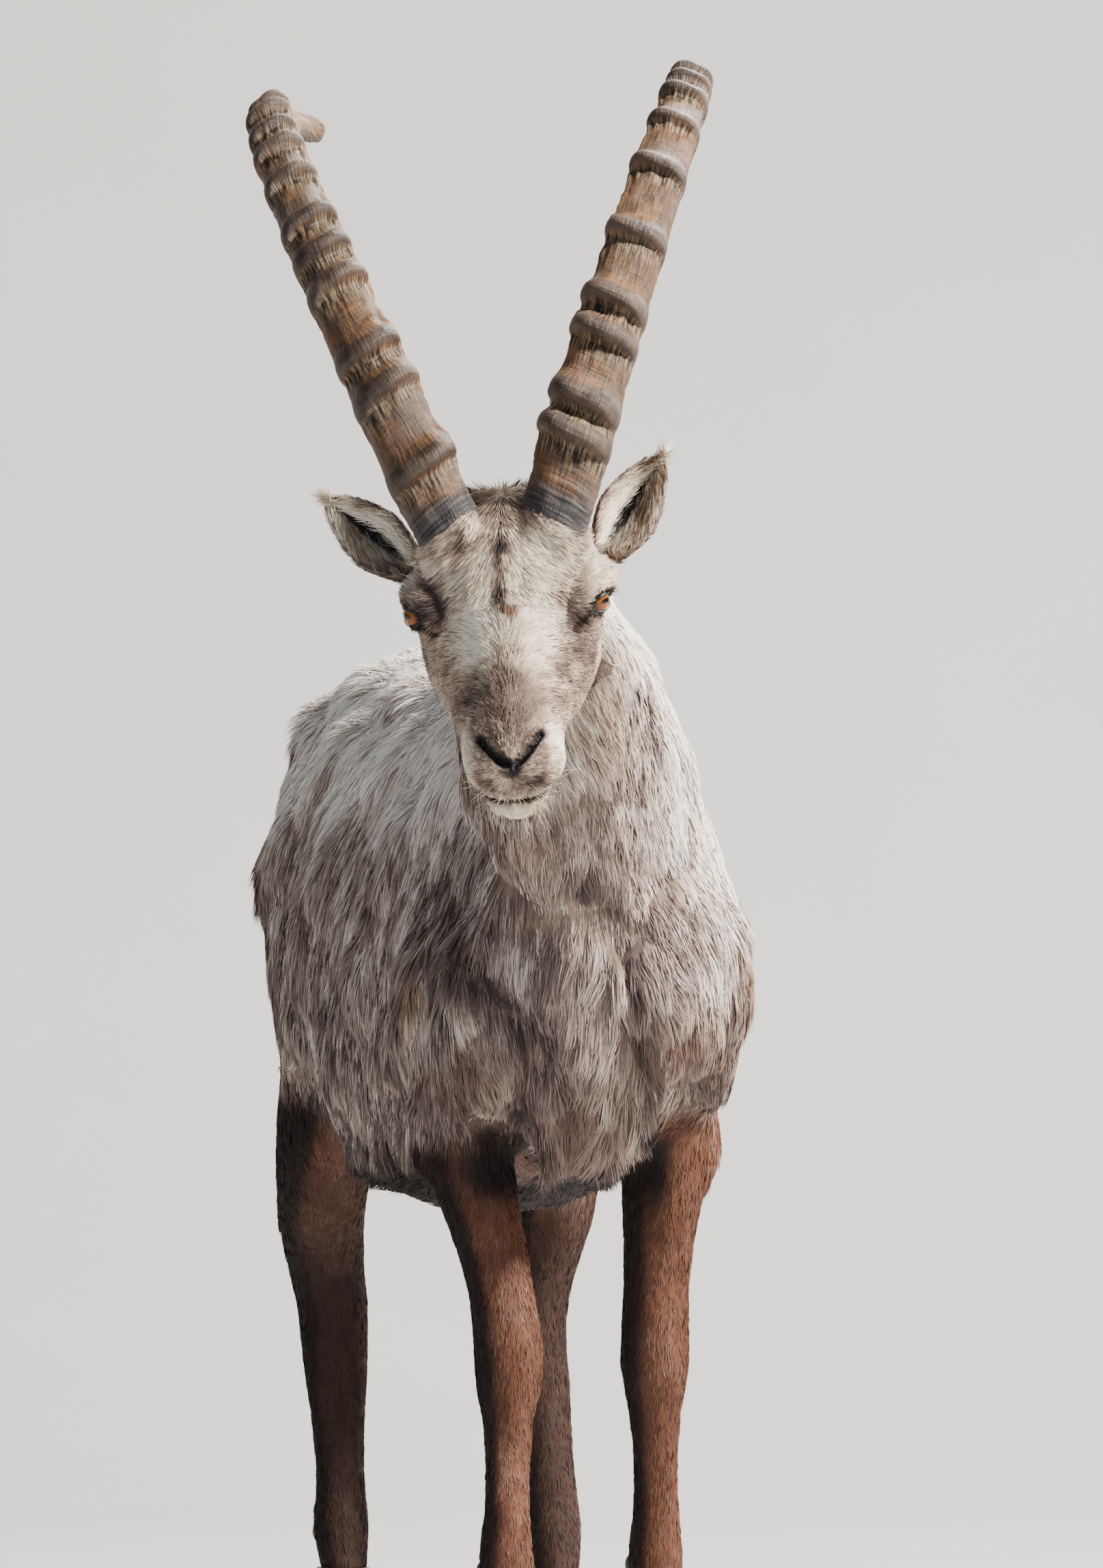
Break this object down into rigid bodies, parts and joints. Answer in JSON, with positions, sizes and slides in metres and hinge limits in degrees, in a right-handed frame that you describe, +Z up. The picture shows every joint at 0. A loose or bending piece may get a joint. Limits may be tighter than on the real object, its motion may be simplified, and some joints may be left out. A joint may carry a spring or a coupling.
{
  "type": "alpine ibex model",
  "caption": "Life-size still model of an adult male alpine ibex, standing square, its head turned to the viewer, with long ridged horns swept back.",
  "frame": {"origin": "on the floor, under the middle of the box around the whole animal", "axes": "the body faces -Y, its left side is +X, +Z is up; the soles stand on z = 0"},
  "size_m": [0.4808, 1.4504, 1.3794],
  "materials": {
    "coat": "long winter hair in moult, cream and beige with grey-brown patches",
    "face": "short pale hair, mauve-brown on the nose, dark around the eyes",
    "ear": "short grey hair, white inside with a dark stripe",
    "leg": "short chestnut to dark brown hair",
    "tail": "dark brown hair",
    "horn": "fibrous brown horn with grey-brown ridges, blue-grey at the base",
    "hoof": "dark worn horn",
    "eye": "wet amber eye with a level dark pupil"
  },
  "bodies": {
    "root": {"ear_left": "ear", "ear_right": "ear", "eye_left": "eye", "eye_right": "eye", "fore_left_claw_left": "hoof", "fore_left_claw_right": "hoof", "fore_left_dewclaw_left": "hoof", "fore_left_dewclaw_right": "hoof", "fore_left_lower": "leg", "fore_left_upper": "leg", "fore_right_claw_left": "hoof", "fore_right_claw_right": "hoof", "fore_right_dewclaw_left": "hoof", "fore_right_dewclaw_right": "hoof", "fore_right_lower": "leg", "fore_right_upper": "leg", "head": "face", "hind_left_claw_left": "hoof", "hind_left_claw_right": "hoof", "hind_left_dewclaw_left": "hoof", "hind_left_dewclaw_right": "hoof", "hind_left_lower": "leg", "hind_left_upper": "leg", "hind_right_claw_left": "hoof", "hind_right_claw_right": "hoof", "hind_right_dewclaw_left": "hoof", "hind_right_dewclaw_right": "hoof", "hind_right_lower": "leg", "hind_right_upper": "leg", "horn_left": "horn", "horn_right": "horn", "neck": "coat", "tail": "tail", "torso": "coat"}
  },
  "joints": []
}
